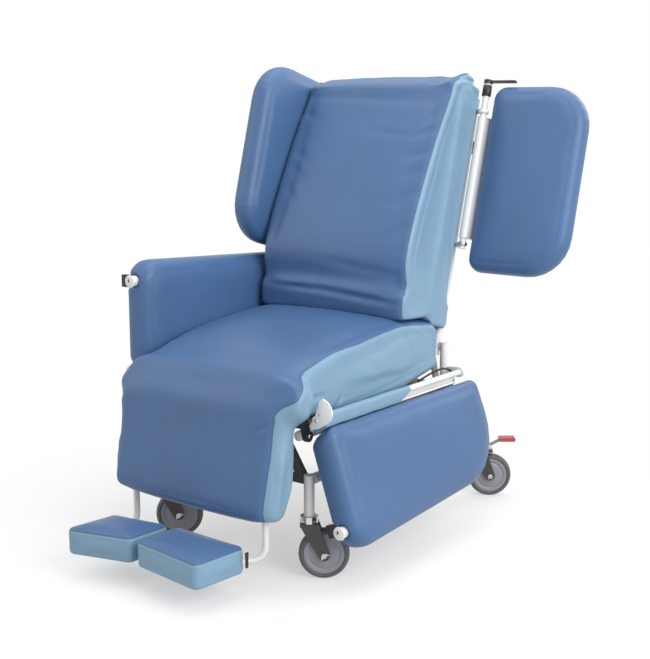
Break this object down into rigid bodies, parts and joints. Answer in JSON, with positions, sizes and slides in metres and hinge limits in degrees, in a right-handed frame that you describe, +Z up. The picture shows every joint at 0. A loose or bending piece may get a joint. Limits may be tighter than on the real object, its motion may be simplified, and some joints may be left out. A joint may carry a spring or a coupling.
{
  "type": "pressure care chair",
  "caption": "Padded reclining care chair on braked swivel castors, with drop-down arms, swing-out side wings, an elevating legrest and flip-up foot pads.",
  "frame": {"origin": "middle of the bounding box at floor level", "axes": "+Z up, the sitter faces -Y, +X to the sitter's left"},
  "size_m": [0.934, 1.2368, 1.2397],
  "materials": {
    "vinyl_dark": "smooth dark blue coated upholstery vinyl",
    "vinyl_light": "smooth light blue coated upholstery vinyl",
    "white_tube": "white powder coat",
    "white_plastic": "white moulded plastic",
    "black_plastic": "black moulded plastic",
    "black_metal": "black paint",
    "board": "plain plywood board",
    "steel": "bright ground steel",
    "grey_metal": "grey paint",
    "gunmetal": "dark warm grey coat",
    "tyre_grey": "dark grey non-marking tread with a lighter grey hub",
    "pedal_red": "red moulded pedal on a grey arm"
  },
  "bodies": {
    "base": {"seat_board": "board", "seat_cushion": "vinyl_dark", "front_cross_bar": "white_tube", "rear_cross_bar": "white_tube", "gas_spring_cylinder": "black_metal", "front_post_left": "white_tube", "front_post_right": "white_tube", "base_rail_left": "white_tube", "base_rail_right": "white_tube", "front_brace_left": "white_tube", "front_brace_right": "white_tube", "seat_rail_left": "white_tube", "seat_rail_right": "white_tube", "rear_upright_left": "white_tube", "rear_upright_right": "white_tube", "legrest_bracket_left": "black_metal", "legrest_bracket_right": "black_metal", "arm_plate_left": "white_tube", "arm_plate_right": "white_tube"},
    "back": {"back_panel": "board", "back_cushion": "vinyl_dark", "push_handle": "black_plastic", "recline_lever": "grey_metal", "back_post_left": "white_tube", "back_post_right": "white_tube", "wing_post_left": "white_tube", "wing_post_right": "white_tube"},
    "spring_rod": {"gas_spring_rod": "steel"},
    "legrest": {"legrest_board": "board", "legrest_cushion": "vinyl_dark", "foot_hanger_left": "white_tube", "foot_hanger_right": "white_tube"},
    "foot_left": {"foot_pad_left": "vinyl_light"},
    "arm_left": {"arm_frame_left": "white_tube", "arm_pad_left": "vinyl_dark", "arm_catch_left": "black_plastic"},
    "button_left": {"arm_button_left": "white_plastic"},
    "wing_left": {"wing_hinge_left": "white_tube", "wing_pad_left": "vinyl_dark"},
    "lever_left": {"wing_lever_left": "black_plastic"},
    "fork_front_left": {"castor_fork_front_left": "gunmetal"},
    "wheel_front_left": {"castor_wheel_front_left": "tyre_grey"},
    "fork_rear_left": {"castor_fork_rear_left": "gunmetal"},
    "wheel_rear_left": {"castor_wheel_rear_left": "tyre_grey"},
    "pedal_left": {"brake_pedal_left": "pedal_red"},
    "foot_right": {"foot_pad_right": "vinyl_light"},
    "arm_right": {"arm_frame_right": "white_tube", "arm_pad_right": "vinyl_dark", "arm_catch_right": "black_plastic"},
    "button_right": {"arm_button_right": "white_plastic"},
    "wing_right": {"wing_hinge_right": "white_tube", "wing_pad_right": "vinyl_dark"},
    "lever_right": {"wing_lever_right": "black_plastic"},
    "fork_front_right": {"castor_fork_front_right": "gunmetal"},
    "wheel_front_right": {"castor_wheel_front_right": "tyre_grey"},
    "fork_rear_right": {"castor_fork_rear_right": "gunmetal"},
    "wheel_rear_right": {"castor_wheel_rear_right": "tyre_grey"},
    "pedal_right": {"brake_pedal_right": "pedal_red"}
  },
  "joints": [
    {"name": "back_recline", "type": "hinge", "parent": "base", "child": "back", "pos_m": [-0.104, 0.34384, 0.47], "axis": [-1, 0, 0], "range_deg": [0, 35]},
    {"name": "gas_spring_slide", "type": "slide", "parent": "base", "child": "spring_rod", "axis": [0, -1, 0], "range_m": [0, 0.0752]},
    {"name": "legrest_elevate", "type": "hinge", "parent": "base", "child": "legrest", "pos_m": [-0.104, -0.32516, 0.47], "axis": [-1, 0, 0], "range_deg": [0, 70]},
    {"name": "foot_pad_flip_left", "type": "hinge", "parent": "legrest", "child": "foot_left", "pos_m": [0.078, -0.44454, 0.078], "axis": [0, 1, 0], "range_deg": [0, 90]},
    {"name": "arm_drop_left", "type": "hinge", "parent": "base", "child": "arm_left", "pos_m": [0.1887, 0.14084, 0.411], "axis": [0, -1, 0], "range_deg": [0, 161]},
    {"name": "arm_button_press_left", "type": "slide", "parent": "arm_left", "child": "button_left", "axis": [0, 1, 0], "range_m": [0, 0.005], "stiffness_N_per_m": 300},
    {"name": "wing_swing_left", "type": "hinge", "parent": "back", "child": "wing_left", "pos_m": [0.162, 0.313, 0.47855], "axis": [0, -0.2672, -0.9636], "range_deg": [0, 90]},
    {"name": "wing_lever_turn_left", "type": "hinge", "parent": "back", "child": "lever_left", "pos_m": [0.162, 0.5095, 1.18711], "axis": [0, 0.2672, 0.9636], "range_deg": [-35, 35]},
    {"name": "castor_swivel_front_left", "type": "hinge", "parent": "base", "child": "fork_front_left", "pos_m": [0.138, -0.25916, 0], "axis": [0, 0, 1], "continuous": true},
    {"name": "castor_spin_front_left", "type": "hinge", "parent": "fork_front_left", "child": "wheel_front_left", "pos_m": [0.1666, -0.2373, 0.0625], "axis": [-0.6074, 0.7944, 0], "continuous": true},
    {"name": "castor_swivel_rear_left", "type": "hinge", "parent": "base", "child": "fork_rear_left", "pos_m": [0.138, 0.54084, 0], "axis": [0, 0, 1], "continuous": true},
    {"name": "castor_spin_rear_left", "type": "hinge", "parent": "fork_rear_left", "child": "wheel_rear_left", "pos_m": [0.1666, 0.5627, 0.0625], "axis": [-0.6074, 0.7944, 0], "continuous": true},
    {"name": "brake_pedal_left", "type": "hinge", "parent": "fork_rear_left", "child": "pedal_left", "pos_m": [0.16501, 0.56149, 0.151], "axis": [-0.6074, 0.7944, 0], "range_deg": [-12, 0]},
    {"name": "foot_pad_flip_right", "type": "hinge", "parent": "legrest", "child": "foot_right", "pos_m": [-0.294, -0.46732, 0.078], "axis": [0, -1, 0], "range_deg": [0, 90]},
    {"name": "arm_drop_right", "type": "hinge", "parent": "base", "child": "arm_right", "pos_m": [-0.3967, 0.14084, 0.411], "axis": [0, -1, 0], "range_deg": [0, 161]},
    {"name": "arm_button_press_right", "type": "slide", "parent": "arm_right", "child": "button_right", "axis": [0, 1, 0], "range_m": [0, 0.005], "stiffness_N_per_m": 300},
    {"name": "wing_swing_right", "type": "hinge", "parent": "back", "child": "wing_right", "pos_m": [-0.37, 0.313, 0.47855], "axis": [0, -0.2672, -0.9636], "range_deg": [0, 90]},
    {"name": "wing_lever_turn_right", "type": "hinge", "parent": "back", "child": "lever_right", "pos_m": [-0.37, 0.5095, 1.18711], "axis": [0, 0.2672, 0.9636], "range_deg": [-35, 35]},
    {"name": "castor_swivel_front_right", "type": "hinge", "parent": "base", "child": "fork_front_right", "pos_m": [-0.346, -0.25916, 0], "axis": [0, 0, 1], "continuous": true},
    {"name": "castor_spin_front_right", "type": "hinge", "parent": "fork_front_right", "child": "wheel_front_right", "pos_m": [-0.3174, -0.2373, 0.0625], "axis": [-0.6074, 0.7944, 0], "continuous": true},
    {"name": "castor_swivel_rear_right", "type": "hinge", "parent": "base", "child": "fork_rear_right", "pos_m": [-0.346, 0.54084, 0], "axis": [0, 0, 1], "continuous": true},
    {"name": "castor_spin_rear_right", "type": "hinge", "parent": "fork_rear_right", "child": "wheel_rear_right", "pos_m": [-0.3174, 0.5627, 0.0625], "axis": [-0.6074, 0.7944, 0], "continuous": true},
    {"name": "brake_pedal_right", "type": "hinge", "parent": "fork_rear_right", "child": "pedal_right", "pos_m": [-0.31899, 0.56149, 0.151], "axis": [-0.6074, 0.7944, 0], "range_deg": [-12, 0]}
  ],
  "couplings": [
    {"joint": "gas_spring_slide", "follows": "back_recline", "m_per_rad": 0.1231}
  ]
}
